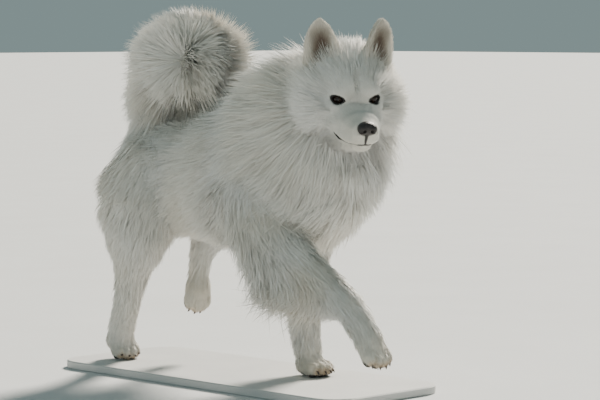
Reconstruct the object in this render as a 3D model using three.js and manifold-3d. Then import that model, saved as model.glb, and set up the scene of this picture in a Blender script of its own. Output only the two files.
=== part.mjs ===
// A Samoyed dog trotting, life size, as a still museum model on a flat base. Millimetres, +Z up.
// The dog looks along -Y and its left side is +X. The origin is the middle of the base's underside.
// Each solid reaches out to the tips of the coat. Neighbours are parted by a thin gap.
import * as THREE from "three";
import { mergeVertices } from "three/addons/utils/BufferGeometryUtils.js";
import Module from "manifold-3d";

const wasm = await Module();
wasm.setup();

// Driving dimensions
const GAP = 0.4; // width of the gap between neighbouring pieces
const BASE = { length: 880, width: 340, thickness: 18, corner: 60, bevel: 2.5 };
const STANCE = 15; // how far ahead of the base's middle the dog's own zero lies
const EYE = { radius: 11, apart: 70 };
const HEAD = { yaw: 29, pitch: 17 }; // degrees to the dog's right and downward
const TOE = { width: 12.5, length: 23, height: 18, spacing: 15.5 };
const CLAW = { radius: 3.2, length: 12 };
const COLOUR = {
  coat: 0xf0ebe0,
  cream: 0xe9dcc4,
  ear: 0xd8c8b4,
  nose: 0x1b1718,
  eye: 0x20120b,
  claw: 0x2c2624,
  base: 0xb9b4aa,
};

// A place in the dog's own terms: forward, to its left and above the ground
const at = (forward, left, up) => new THREE.Vector3(left, -forward, up);
const UP = at(0, 0, 1);
const FORWARD = at(1, 0, 0);
const radians = THREE.MathUtils.degToRad;

// A closed geometry as a solid
function solid(geometry) {
  const bare = geometry.index ? geometry.toNonIndexed() : geometry.clone();
  bare.deleteAttribute("normal");
  bare.deleteAttribute("uv");
  const merged = mergeVertices(bare, 1e-3);
  return new wasm.Manifold(
    new wasm.Mesh({
      numProp: 3,
      vertProperties: merged.attributes.position.array,
      triVerts: new Uint32Array(merged.index.array),
    }),
  );
}

const joined = (solids) => solids.reduce((all, one) => all.add(one));

// One ring of a loft: its centre, half width, and reach to one side and to the other
const ring = (centre, wide, above, below = above) => ({
  centre,
  size: new THREE.Vector3(wide, above, below),
});

// A closed loft through rings, with a dome at each end. "towards" is where "above" points.
function loft(
  rings,
  { towards = UP, sides = 16, steps = 2, domes = [0.5, 0.5], caps = [0.6, 0.9], grow = 0 } = {},
) {
  const centres = new THREE.CatmullRomCurve3(rings.map((r) => r.centre), false, "catmullrom", 0.5);
  const sizes = new THREE.CatmullRomCurve3(rings.map((r) => r.size), false, "catmullrom", 0.5);
  const count = (rings.length - 1) * steps;
  const levels = [];
  for (let i = 0; i <= count; i++) levels.push({ t: i / count, shrink: 1, out: 0 });
  for (const out of caps) {
    const shrink = Math.sqrt(1 - out * out);
    levels.unshift({ t: 0, shrink, out: -out * domes[0] });
    levels.push({ t: 1, shrink, out: out * domes[1] });
  }
  const points = [];
  const middles = levels.map(({ t, shrink, out }) => {
    const size = sizes.getPoint(t);
    const along = centres.getTangent(t);
    const aside = new THREE.Vector3().crossVectors(along, towards).normalize();
    const upward = new THREE.Vector3().crossVectors(aside, along).normalize();
    const reach = out * Math.min(size.x, size.y) + Math.sign(out) * grow;
    const middle = centres.getPoint(t).addScaledVector(along, reach);
    for (let k = 0; k < sides; k++) {
      const angle = (2 * Math.PI * k) / sides;
      const high = Math.sin(angle) > 0 ? size.y : size.z;
      const across = shrink * (size.x + grow) * Math.cos(angle);
      points.push(
        middle
          .clone()
          .addScaledVector(aside, across)
          .addScaledVector(upward, shrink * (high + grow) * Math.sin(angle)),
      );
    }
    return middle.clone().addScaledVector(along, reach * 0.08);
  });
  const first = points.push(middles[0]) - 1;
  const last = points.push(middles[middles.length - 1]) - 1;
  const faces = [];
  const end = (levels.length - 1) * sides;
  for (let k = 0; k < sides; k++) {
    const next = (k + 1) % sides;
    faces.push(first, next, k, last, end + k, end + next);
    for (let r = 0; r < end; r += sides) {
      faces.push(r + k, r + next, r + sides + next);
      faces.push(r + k, r + sides + next, r + sides + k);
    }
  }
  const geometry = new THREE.BufferGeometry().setFromPoints(points).setIndex(faces);
  const made = solid(geometry);
  return made.volume() > 0 ? made : solid(geometry.setIndex(faces.reverse()));
}

// A ball with a reach forward, to the left and up, set in a frame of reference
function ball(reach, frame, { grow = 0, around = 10, rows = 7 } = {}) {
  const size = new THREE.Vector3(Math.abs(reach.x), Math.abs(reach.y), reach.z).addScalar(grow);
  const geometry = new THREE.SphereGeometry(1, around, rows);
  return solid(geometry.scale(size.x, size.y, size.z).applyMatrix4(frame));
}

const shift = (place) => new THREE.Matrix4().makeTranslation(place.x, place.y, place.z);

// A frame of reference at a place, turned to the right by yaw and nose-down by pitch
function frameAt(place, yaw = 0, pitch = 0) {
  const turn = new THREE.Euler(radians(pitch), 0, radians(-yaw), "ZXY");
  return new THREE.Matrix4().makeRotationFromEuler(turn).setPosition(place);
}

// A slab as thin as the gap, square to a direction
function slab(place, direction, width, height = width) {
  const turn = new THREE.Quaternion().setFromUnitVectors(UP, direction.clone().normalize());
  const matrix = new THREE.Matrix4().compose(place, turn, new THREE.Vector3(1, 1, 1));
  return solid(new THREE.BoxGeometry(width, height, GAP).applyMatrix4(matrix));
}

// Trunk: rump, loin, chest and forechest
const trunk = () =>
  loft(
    [
      ring(at(-330, 0, 425), 92, 98, 112),
      ring(at(-262, 0, 420), 132, 128, 140),
      ring(at(-150, 0, 418), 138, 138, 138),
      ring(at(-30, 0, 425), 148, 160, 162),
      ring(at(90, 0, 432), 160, 172, 182),
      ring(at(195, 0, 425), 156, 165, 160),
      ring(at(272, -5, 435), 128, 135, 122),
    ],
    { sides: 14, domes: [0.55, 0.62] },
  );

// Neck in its ruff, from the withers to the cheeks
const neck = () =>
  loft(
    [
      ring(at(45, 0, 455), 150, 150, 120),
      ring(at(150, -2, 515), 162, 166, 180),
      ring(at(240, -6, 557), 162, 164, 190),
      ring(at(300, -14, 592), 152, 146, 165),
      ring(at(345, -28, 605), 128, 112, 124),
    ],
    { sides: 16, domes: [0.4, 0.35] },
  );

// The bib of long coat below the throat
const bib = () => ball(at(114, 146, 142), shift(at(250, -6, 484)), { around: 14, rows: 8 });

// The head's own frame: its zero is midway between the eyes
const headFrame = frameAt(at(376, -60, 601), HEAD.yaw, HEAD.pitch);
const inHead = (forward, left, up) => at(forward, left, up).applyMatrix4(headFrame);
const headPlace = (forward, left, up) => headFrame.clone().multiply(shift(at(forward, left, up)));
const headWay = (forward, left, up) => at(forward, left, up).transformDirection(headFrame);

const skull = (grow = 0) =>
  loft(
    [
      ring(inHead(-112, 0, 14), 98, 98, 92),
      ring(inHead(-72, 0, 8), 94, 80, 96),
      ring(inHead(-40, 0, 0), 87, 62, 98),
      ring(inHead(-16, 0, -6), 68, 45, 78),
    ],
    { towards: headWay(0, 0, 1), sides: 14, domes: [0.3, 0.4], grow },
  );

const muzzle = (grow = 0) =>
  loft(
    [
      ring(inHead(-30, 0, -32), 64, 34, 66),
      ring(inHead(15, 0, -38), 50, 29, 55),
      ring(inHead(45, 0, -40), 39, 25, 47),
      ring(inHead(76, 0, -42), 29, 21, 37),
    ],
    { towards: headWay(0, 0, 1), sides: 12, domes: [0.3, 0.5], grow },
  );

const nose = (grow = 0) =>
  ball(at(14, 19.5, 14.5), headPlace(88, 0, -32), { grow, around: 12, rows: 6 });

const nostril = (side) => ball(at(5, 4, 3.5), headPlace(99, side * 8.5, -34), { around: 6, rows: 4 });

const eye = (side, grow = 0) =>
  ball(at(1, 1, 1).multiplyScalar(EYE.radius), headPlace(-7, (side * EYE.apart) / 2, 0), { grow });

// The lower jaw's share of the muzzle: all that lies below the lips
function jawSpace(grow = 0) {
  const box = new THREE.BoxGeometry(200, 130 + grow, 90).translate(0, -65 + grow / 2, -45 + grow);
  const lips = headPlace(-12, 0, -66).multiply(frameAt(at(0, 0, 0), 0, 3.5));
  return solid(box.applyMatrix4(lips));
}

// An upright ear, rounded at the tip and hollow in front
function ear(side) {
  const foot = inHead(-66, side * 53, 38);
  const tip = inHead(-78, side * 69, 146);
  const up = (share) => foot.clone().lerp(tip, share);
  const front = headWay(0.92, side * 0.38, 0);
  const whole = loft(
    [
      ring(up(0), 40, 20, 22),
      ring(up(0.4), 38, 15, 17),
      ring(up(0.75), 26, 10, 12),
      ring(up(0.98), 11, 6, 7),
    ],
    { towards: front, sides: 8, domes: [0.2, 0.7], caps: [0.75] },
  );
  const hollow = loft(
    [
      ring(up(0.2).addScaledVector(front, 16), 23, 11, 13),
      ring(up(0.5).addScaledVector(front, 14), 22, 11, 13),
      ring(up(0.8).addScaledVector(front, 9), 12, 8, 8),
    ],
    { towards: front, sides: 6, steps: 1, domes: [0.6, 0.6], caps: [0.7] },
  );
  return whole.subtract(hollow);
}

// Tail: a stem that rises from the rump and a plume that curls over the back
const whorl = at(-158, -24, 668);
const tail = () =>
  joined([
    ball(at(163, 124, 122), shift(whorl), { around: 14, rows: 8 }),
    loft(
      [
        ring(at(-272, 0, 500), 78, 74),
        ring(at(-276, -4, 590), 88, 80),
        ring(at(-225, -14, 660), 92, 84),
      ],
      { towards: FORWARD, sides: 12, domes: [0.4, 0.4] },
    ),
  ]);

// Half planes that meet at the whorl and part the curled tail into three lengths
const tailCuts = [20, 140, -75].map((degrees) => {
  const half = new THREE.BoxGeometry(500, 300, GAP).translate(0, 150 - GAP, 0);
  return solid(half.applyMatrix4(frameAt(whorl, 0, degrees)));
});

// A paw in its own frame: zero is on the sole, below the roots of the toes
function paw(frame, { flat = false, tipUp = 5.5 } = {}) {
  const place = (forward, left, up) => frame.clone().multiply(shift(at(forward, left, up)));
  const lanes = [-1.5, -0.5, 0.5, 1.5];
  const lead = (lane) => 24 - 7 * (Math.abs(lane) - 0.5);
  const palm = ball(at(32, 34, 26), place(-8, 0, 24), { around: 8, rows: 5 });
  const toes = lanes.map((lane) =>
    ball(
      at(TOE.length, TOE.width, TOE.height),
      place(lead(lane), lane * TOE.spacing, TOE.height - 1),
      { around: 7, rows: 4 },
    ),
  );
  const clawAt = (lane, grow = 0) => {
    const root = new THREE.Vector3().setFromMatrixPosition(
      place(lead(lane) + TOE.length - 9, lane * TOE.spacing * 1.04, TOE.height - 2),
    );
    const tip = new THREE.Vector3().setFromMatrixPosition(
      place(lead(lane) + TOE.length - 9 + CLAW.length, lane * TOE.spacing * 1.12, tipUp),
    );
    return loft(
      [ring(root, CLAW.radius * 0.8, CLAW.radius), ring(tip, 0.9, 1.2)],
      {
        towards: at(0, 0, 1).transformDirection(frame),
        sides: 4,
        steps: 1,
        domes: [0.5, 0.8],
        caps: [0.7],
        grow,
      },
    );
  };
  let flesh = joined([palm, ...toes]);
  if (flat) {
    const ground = new THREE.BoxGeometry(2000, 2000, 60).translate(0, 0, -30 + GAP);
    flesh = flesh.subtract(solid(ground));
  }
  for (const lane of lanes) flesh = flesh.subtract(clawAt(lane, GAP));
  return { flesh, claws: lanes.map((lane) => clawAt(lane)) };
}

// The legs: a loft from the body to the paw, the paw's frame and the joints where pieces part
const LEGS = {
  right_fore: {
    rings: [
      ring(at(85, -88, 420), 62, 70, 80),
      ring(at(140, -98, 345), 62, 68, 108),
      ring(at(215, -98, 282), 46, 56, 162),
      ring(at(290, -96, 240), 37, 38, 146),
      ring(at(340, -93, 212), 34, 35, 80),
      ring(at(386, -90, 178), 33, 34, 35),
      ring(at(418, -89, 143), 31, 31, 31),
      ring(at(440, -88, 116), 33, 31, 28),
    ],
    paw: frameAt(at(437, -88, 82), 0, 36),
    cuts: [
      [at(205, -98, 268), at(0.8, 0, -0.42), 380],
      [at(378, -90, 185), at(0.75, 0, -0.6), 160],
      [at(425, -88, 132), at(0.62, 0, -0.78), 110],
    ],
  },
  left_fore: {
    rings: [
      ring(at(105, 85, 420), 60, 72, 72),
      ring(at(100, 92, 345), 60, 66, 74),
      ring(at(108, 86, 285), 46, 50, 82),
      ring(at(108, 76, 215), 35, 37, 84),
      ring(at(109, 66, 140), 31, 32, 68),
      ring(at(113, 61, 90), 30, 31, 44),
      ring(at(124, 57, 48), 32, 30, 34),
    ],
    paw: frameAt(at(140, 54, 0), -4, 0),
    flat: true,
    cuts: [
      [at(110, 86, 282), at(0, -0.12, 1), 220],
      [at(110, 64, 115), at(-0.05, 0.05, 1), 170],
      [at(118, 58, 56), at(-0.2, 0, 1), 130],
    ],
  },
  right_hind: {
    rings: [
      ring(at(-225, -82, 468), 66, 70, 88),
      ring(at(-242, -94, 385), 84, 110, 132),
      ring(at(-245, -98, 312), 76, 98, 126),
      ring(at(-272, -88, 250), 54, 64, 84),
      ring(at(-297, -76, 197), 40, 37, 44),
      ring(at(-325, -68, 130), 31, 30, 33),
      ring(at(-352, -61, 70), 31, 29, 32),
      ring(at(-364, -58, 38), 32, 28, 28),
    ],
    paw: frameAt(at(-368, -56, 13), 2, 28),
    flat: true,
    tipUp: 18,
    cuts: [
      [at(-262, -92, 275), at(-0.35, 0, 1), 300],
      [at(-305, -74, 180), at(-0.4, 0, 1), 200],
      [at(-350, -60, 66), at(-0.4, 0, 1), 130],
    ],
  },
  left_hind: {
    rings: [
      ring(at(-215, 82, 460), 64, 80, 100),
      ring(at(-190, 96, 380), 80, 110, 125),
      ring(at(-175, 98, 320), 66, 84, 96),
      ring(at(-212, 78, 278), 38, 44, 56),
      ring(at(-228, 68, 235), 26, 26, 31),
      ring(at(-235, 66, 180), 24, 24, 26),
      ring(at(-238, 66, 150), 26, 24, 27),
    ],
    paw: frameAt(at(-258, 66, 146), 0, 80),
    cuts: [
      [at(-195, 84, 300), at(-0.35, 0, 1), 260],
      [at(-226, 69, 246), at(-0.1, 0, 1), 130],
      [at(-237, 66, 158), at(0, 0, 1), 110],
    ],
  },
};
const SECTIONS = {
  fore: ["upper", "forearm", "pastern", "paw"],
  hind: ["thigh", "shank", "hock", "paw"],
};

const legLoft = (leg, grow = 0) =>
  loft(leg.rings, { towards: FORWARD, sides: 12, steps: 1, domes: [0.4, 0.3], caps: [0.75], grow });

// Pieces
const nodes = [];
const keep = (name, made, colour, roughness = 0.9) => nodes.push({ name, made, colour, roughness });

// Splits a solid into its separate bodies and names each by a point that lies in it
function part(whole, cutters, seeds, colour) {
  const cut = cutters.reduce((rest, tool) => rest.subtract(tool), whole);
  const bodies = cut.decompose();
  if (bodies.length !== seeds.length) {
    throw new Error(`${seeds[0][0]} parts into ${bodies.length} bodies`);
  }
  for (const [name, seed] of seeds) {
    const probe = ball(at(1, 1, 1), shift(seed), { around: 6, rows: 4 });
    const found = bodies.find((body) => body.intersect(probe).volume() > 0);
    if (!found) throw new Error(`no piece of ${name} at its seed`);
    keep(name, found, colour);
  }
}

const headWhole = joined([skull(), muzzle()]);
const headGrown = joined([skull(GAP), muzzle(GAP)]);
const legsGrown = Object.values(LEGS).map((leg) => legLoft(leg, GAP).add(legLoft(leg)));

// The room kept clear of the ruff in front of the cheeks
const faceBox = new THREE.BoxGeometry(500, 300, 500).translate(0, -118, 0);
const faceSpace = solid(faceBox.applyMatrix4(headFrame));
const ruff = () => neck().add(bib()).subtract(faceSpace);

part(
  trunk().add(ruff()),
  [
    headGrown,
    ...legsGrown,
    slab(at(140, 0, 575), at(0.55, 0, 0.84), 700),
    slab(at(25, 0, 430), FORWARD, 700),
    slab(at(-185, 0, 430), FORWARD, 700),
  ],
  [
    ["neck", at(200, 60, 640)],
    ["chest", at(150, 0, 400)],
    ["loin", at(-60, 0, 430)],
    ["rump", at(-240, 0, 500)],
  ],
  COLOUR.coat,
);

part(
  tail(),
  [trunk().translate([0, 0, GAP]), ruff().translate([0, 0, GAP]), ...legsGrown, ...tailCuts],
  [
    ["tail_root", whorl.clone().add(at(-90, 0, -40))],
    ["tail_middle", whorl.clone().add(at(0, 0, 80))],
    ["tail_tip", whorl.clone().add(at(90, 0, -10))],
  ],
  COLOUR.coat,
);

// Head
const jawCut = jawSpace(GAP);
const features = [eye(-1, GAP), eye(1, GAP), nose(GAP)];
const face = features.reduce((rest, tool) => rest.subtract(tool), headWhole);
part(face, [jawCut], [["head", inHead(-60, 0, 0)]], COLOUR.coat);
part(face.intersect(jawSpace()), [], [["lower_jaw", inHead(45, 0, -78)]], COLOUR.coat);
keep("nose", nose().subtract(nostril(-1)).subtract(nostril(1)), COLOUR.nose, 0.35);
const behindEars = ruff().translate([0, 0, GAP]);
for (const [name, side] of [["right", -1], ["left", 1]]) {
  keep(`${name}_eye`, eye(side), COLOUR.eye, 0.1);
  part(ear(side), [headGrown, behindEars], [[`${name}_ear`, inHead(-75, side * 62, 110)]], COLOUR.ear);
}

// Legs
for (const [name, leg] of Object.entries(LEGS)) {
  const foot = paw(leg.paw, leg);
  const whole = legLoft(leg).add(foot.flesh);
  const cutters = leg.cuts.map(([place, way, width]) => slab(place, way, width));
  const between = (i) => leg.cuts[i][0].clone().lerp(leg.cuts[i + 1][0], 0.5);
  const seeds = [leg.rings[0].centre, between(0), between(1), at(-5, 0, 24).applyMatrix4(leg.paw)];
  const titles = SECTIONS[name.endsWith("fore") ? "fore" : "hind"];
  part(whole, cutters, titles.map((title, i) => [`${name}_${title}`, seeds[i]]), COLOUR.coat);
  foot.claws.forEach((claw, i) => keep(`${name}_claw_${i + 1}`, claw, COLOUR.claw, 0.4));
}

// Base: a flat plate with round corners and a small bevel
function base() {
  const [halfX, halfY, r] = [BASE.width / 2 - BASE.bevel, BASE.length / 2 - BASE.bevel, BASE.corner];
  const outline = new THREE.Shape();
  outline.moveTo(-halfX + r, -halfY);
  outline.absarc(halfX - r, -halfY + r, r, -Math.PI / 2, 0);
  outline.absarc(halfX - r, halfY - r, r, 0, Math.PI / 2);
  outline.absarc(-halfX + r, halfY - r, r, Math.PI / 2, Math.PI);
  outline.absarc(-halfX + r, -halfY + r, r, Math.PI, 1.5 * Math.PI);
  const plate = new THREE.ExtrudeGeometry(outline, {
    depth: BASE.thickness - 2 * BASE.bevel,
    bevelThickness: BASE.bevel,
    bevelSize: BASE.bevel,
    bevelSegments: 1,
    curveSegments: 4,
  });
  return solid(plate.translate(0, 0, BASE.bevel));
}

const group = new THREE.Group();
group.name = "samoyed";
const dog = new THREE.Group();
dog.name = "dog";
dog.position.copy(at(STANCE, 0, BASE.thickness));
group.add(dog);

const stand = new THREE.Group();
group.add(stand);
keep("stand_base", base(), COLOUR.base, 0.6);

for (const { name, made, colour, roughness } of nodes) {
  const { vertProperties, triVerts } = made.getMesh();
  const geometry = new THREE.BufferGeometry()
    .setAttribute("position", new THREE.BufferAttribute(vertProperties, 3))
    .setIndex(new THREE.BufferAttribute(triVerts, 1));
  const mesh = new THREE.Mesh(geometry, new THREE.MeshStandardMaterial({ color: colour, roughness }));
  mesh.name = name;
  (name.startsWith("stand") ? stand : dog).add(mesh);
}
export default group;
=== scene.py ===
import math

import bpy
import numpy as np
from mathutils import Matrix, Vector
from mathutils.kdtree import KDTree

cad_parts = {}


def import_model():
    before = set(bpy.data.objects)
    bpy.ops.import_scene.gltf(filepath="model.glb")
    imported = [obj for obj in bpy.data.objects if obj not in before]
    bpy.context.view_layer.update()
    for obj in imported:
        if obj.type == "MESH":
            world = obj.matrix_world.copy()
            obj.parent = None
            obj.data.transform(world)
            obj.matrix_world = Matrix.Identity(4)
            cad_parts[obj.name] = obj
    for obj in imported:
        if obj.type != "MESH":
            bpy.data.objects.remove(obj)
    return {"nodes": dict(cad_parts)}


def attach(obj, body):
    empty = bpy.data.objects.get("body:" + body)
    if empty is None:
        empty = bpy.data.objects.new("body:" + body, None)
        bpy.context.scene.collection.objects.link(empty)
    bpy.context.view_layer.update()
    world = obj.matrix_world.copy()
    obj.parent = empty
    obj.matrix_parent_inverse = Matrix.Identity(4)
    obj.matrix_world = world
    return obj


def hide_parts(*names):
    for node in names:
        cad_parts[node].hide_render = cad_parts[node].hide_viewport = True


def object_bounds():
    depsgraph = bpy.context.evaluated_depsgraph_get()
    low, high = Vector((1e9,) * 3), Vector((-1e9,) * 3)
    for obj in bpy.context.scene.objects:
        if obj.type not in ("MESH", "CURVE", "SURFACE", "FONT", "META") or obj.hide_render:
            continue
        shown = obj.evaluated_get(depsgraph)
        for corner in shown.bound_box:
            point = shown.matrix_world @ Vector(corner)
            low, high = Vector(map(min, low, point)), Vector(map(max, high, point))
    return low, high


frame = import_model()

CAD_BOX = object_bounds()
RNG = np.random.RandomState(7)

BASE_TOP = 0.018
AHEAD = 0.015  # the dog's own zero lies this far ahead of the origin
MM = 0.001
TINY = 1e-12
SLOPE_FLOOR = 1e-6  # keeps a distance finite at a shape's centre
FAR = 0.06  # the distance stored where nothing is near
UP = np.array([0.0, 0.0, 1.0])
FORWARD = np.array([1.0, 0.0, 0.0])


def world(points):
    """Dog terms (forward, left, up) to the frame's X, Y, Z."""
    p = np.asarray(points, float)
    return np.stack([p[..., 1], -p[..., 0] - AHEAD, p[..., 2] + BASE_TOP], -1)


def turned(ways):
    """A direction in dog terms to X, Y, Z."""
    d = np.asarray(ways, float)
    return np.stack([d[..., 1], -d[..., 0], d[..., 2]], -1)


def clamp(values):
    return np.clip(values, 0, 1)


def unit(v):
    return v / (np.linalg.norm(v, axis=-1, keepdims=True) + TINY)


def dot(a, b):
    return np.einsum("ij,ij->i", a, b)


def placed(name, data):
    item = bpy.data.objects.new(name, data)
    bpy.context.scene.collection.objects.link(item)
    return item


# Camera
LENS = 144.0
SENSOR = 36.0
CAMERA_PITCH = math.radians(4.05)
CAMERA_AT = (3.7404, -3.5848, 0.741)
camera_data = bpy.data.cameras.new("camera")
camera_data.lens = LENS
camera_data.sensor_width = SENSOR
camera_data.clip_end = 200.0
camera = placed("camera", camera_data)
camera.location = world(CAMERA_AT)
look = Vector((1, 1, -math.tan(CAMERA_PITCH) * math.sqrt(2)))
camera.rotation_euler = look.to_track_quat("-Z", "Y").to_euler()
bpy.context.scene.camera = camera


# Frames of reference in dog terms
def axes_at(yaw, pitch):
    """Rows: forward, left and up, turned to the right by yaw and nose-down by pitch."""
    y, p = math.radians(yaw), math.radians(pitch)
    forward = [math.cos(y) * math.cos(p), -math.sin(y) * math.cos(p), -math.sin(p)]
    left = [math.sin(y), math.cos(y), 0]
    up = [math.cos(y) * math.sin(p), -math.sin(y) * math.sin(p), math.cos(p)]
    return np.array([forward, left, up])


HEAD_AT = np.array([376, -60, 601]) * MM
HEAD_AXES = axes_at(29, 17)
# where each paw is, its axes, and how high its claws' tips are, in mm
PAWS = {
    "right_fore": (np.array([437, -88, 82]) * MM, axes_at(0, 36), 5.5),
    "left_fore": (np.array([140, 54, 0]) * MM, axes_at(-4, 0), 5.5),
    "right_hind": (np.array([-368, -56, 13]) * MM, axes_at(2, 28), 18),
    "left_hind": (np.array([-258, 66, 146]) * MM, axes_at(0, 80), 5.5),
}


def along(r, axis):
    """How far three arrays of coordinates reach along an axis."""
    return r[0] * axis[0] + r[1] * axis[1] + r[2] * axis[2]


def local(points, at, axes):
    """Points (three arrays) in a frame of reference, in millimetres."""
    r = [(p - o) / MM for p, o in zip(points, at)]
    return [along(r, axis) for axis in axes]


def head_terms(points):
    return local(points, HEAD_AT, HEAD_AXES)


def from_head_points(points):
    return HEAD_AT + MM * (points @ HEAD_AXES)


def from_head(f, l, h):
    return from_head_points(np.array([f, l, h], float))


# Shapes as distances, negative inside
def soft_min(a, b, k):
    h = clamp(0.5 + 0.5 * (b - a) / k)
    return b + (a - b) * h - k * h * (1 - h)


def soft_max(a, b, k):
    return -soft_min(-a, -b, k)


def ball_distance(x, y, z, centre, radii):
    """Distance to an ellipsoid. A radius may be a pair: behind or below, and ahead or above."""
    parts, slopes = 0, 0
    for value, c, r in zip((x, y, z), centre, radii):
        d = value - c
        if isinstance(r, tuple):
            r = np.where(d > 0, r[1], r[0])
        parts = parts + (d / r) ** 2
        slopes = slopes + (d / (r * r)) ** 2
    k0 = np.sqrt(parts)
    return k0 * (k0 - 1) / (np.sqrt(slopes) + SLOPE_FLOOR)


JOINT_BLEND = 0.25  # of the narrowest half width where two lengths of a tube meet
ROUND_ENDS = 0.6  # how far a tube's end bulges, as a share of its size
SKULL_ENDS = 0.35
MUZZLE_ENDS = 0.55
NECK_ENDS = 0.45


def tube_distance(points, centres, sizes, towards, ends=ROUND_ENDS, blend=None):
    """Distance to a chain of tapered oval tubes. Sizes: half width, reach towards, reach away."""
    best = None
    for i in range(len(centres) - 1):
        start, step = centres[i], centres[i + 1] - centres[i]
        length = np.linalg.norm(step)
        way = step / length
        aside = np.cross(way, towards)
        aside /= np.linalg.norm(aside)
        upward = np.cross(aside, way)
        r = [p - s for p, s in zip(points, start)]
        t = along(r, way) / length
        held = clamp(t)
        wide, above, below = (sizes[i][k] + held * (sizes[i + 1][k] - sizes[i][k]) for k in range(3))
        a, b = along(r, aside), along(r, upward)
        high = np.where(b > 0, above, below)
        end = ends * np.minimum(wide, high)
        x, y, q = a / wide, b / high, (t - held) * length / end
        k0 = np.sqrt(x * x + y * y + q * q)
        k1 = np.sqrt((x / wide) ** 2 + (y / high) ** 2 + (q / end) ** 2) + SLOPE_FLOOR
        d = k0 * (k0 - 1) / k1
        joined = blend or JOINT_BLEND * float(min(sizes[i].min(), sizes[i + 1].min()))
        best = d if best is None else soft_min(best, d, joined)
    return best


class Tube:
    """Rows: centre, half width and reaches out to the hair tips, then the coat's depth in each of those."""

    def __init__(self, rows, towards=UP, ends=ROUND_ENDS):
        rows = np.array(rows, float) * MM
        self.centres, self.tips, self.towards, self.ends = rows[:, :3], rows[:, 3:6], towards, ends
        self.flesh = rows[:, 3:6] - rows[:, 6:9]

    def box(self, hull=False):
        reach = (self.tips if hull else self.flesh).max(1)[:, None]
        return (self.centres - reach).min(0), (self.centres + reach).max(0)

    def __call__(self, points, hull=False):
        sizes = self.tips if hull else self.flesh
        return tube_distance(points, self.centres, sizes, self.towards, self.ends)


class Ball:
    """An upright ball with radii out to the hair tips, and the coat's depth."""

    def __init__(self, centre, radii, coat):
        self.centre, self.tips = np.array(centre) * MM, np.array(radii) * MM
        self.flesh = self.tips - coat * MM

    def box(self, hull=False):
        reach = self.tips if hull else self.flesh
        return self.centre - reach, self.centre + reach

    def __call__(self, points, hull=False):
        return ball_distance(*points, self.centre, self.tips if hull else self.flesh)


TRUNK = Tube([
    (-330, 0, 425, 92, 98, 112, 34, 34, 40),
    (-262, 0, 420, 132, 128, 140, 42, 38, 46),
    (-150, 0, 418, 138, 138, 138, 46, 40, 50),
    (-30, 0, 425, 148, 160, 162, 50, 46, 52),
    (90, 0, 432, 160, 172, 182, 54, 52, 56),
    (195, 0, 425, 156, 165, 160, 56, 56, 58),
    (272, -5, 435, 128, 135, 122, 54, 56, 52),
])
NECK = Tube([
    (45, 0, 455, 150, 150, 120, 60, 56, 60),
    (150, -2, 515, 162, 166, 180, 72, 66, 80),
    (240, -6, 557, 162, 164, 190, 82, 72, 95),
    (300, -14, 592, 152, 146, 165, 84, 72, 92),
    (345, -28, 605, 128, 112, 124, 76, 62, 76),
], ends=NECK_ENDS)
BIB = Ball((250, -6, 484), (114, 146, 142), 70)
RIGHT_FORE = Tube([
    (85, -88, 420, 62, 70, 80, 22, 22, 30),
    (140, -98, 345, 62, 68, 108, 22, 22, 56),
    (215, -98, 282, 46, 56, 162, 14, 18, 110),
    (290, -96, 240, 37, 38, 146, 10, 10, 110),
    (340, -93, 212, 34, 35, 80, 9, 9, 48),
    (386, -90, 178, 33, 34, 35, 8, 8, 9),
    (418, -89, 143, 31, 31, 31, 6, 6, 7),
    (440, -88, 116, 33, 31, 28, 6, 6, 6),
], FORWARD)
LEFT_FORE = Tube([
    (105, 85, 420, 60, 72, 72, 22, 22, 26),
    (100, 92, 345, 60, 66, 74, 22, 20, 28),
    (108, 86, 285, 46, 50, 82, 14, 14, 42),
    (108, 76, 215, 35, 37, 84, 10, 9, 52),
    (109, 66, 140, 31, 32, 68, 8, 7, 40),
    (113, 61, 90, 30, 31, 44, 6, 6, 16),
    (124, 57, 48, 32, 30, 34, 6, 5, 7),
], FORWARD)
RIGHT_HIND = Tube([
    (-225, -82, 468, 66, 70, 88, 30, 30, 40),
    (-242, -94, 385, 84, 110, 132, 36, 36, 56),
    (-245, -98, 312, 76, 98, 126, 34, 38, 60),
    (-272, -88, 250, 54, 64, 84, 20, 26, 40),
    (-297, -76, 197, 40, 37, 44, 11, 10, 16),
    (-325, -68, 130, 31, 30, 33, 7, 7, 9),
    (-352, -61, 70, 31, 29, 32, 6, 6, 7),
    (-364, -58, 38, 32, 28, 28, 6, 5, 6),
], FORWARD)
LEFT_HIND = Tube([
    (-215, 82, 460, 64, 80, 100, 28, 30, 40),
    (-190, 96, 380, 80, 110, 125, 34, 36, 50),
    (-175, 98, 320, 66, 84, 96, 28, 30, 42),
    (-212, 78, 278, 38, 44, 56, 10, 12, 20),
    (-228, 68, 235, 26, 26, 31, 6, 6, 9),
    (-235, 66, 180, 24, 24, 26, 5, 5, 6),
    (-238, 66, 150, 26, 24, 27, 5, 5, 5),
], FORWARD)
LEGS = {"right_fore": RIGHT_FORE, "left_fore": LEFT_FORE, "right_hind": RIGHT_HIND, "left_hind": LEFT_HIND}

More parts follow.
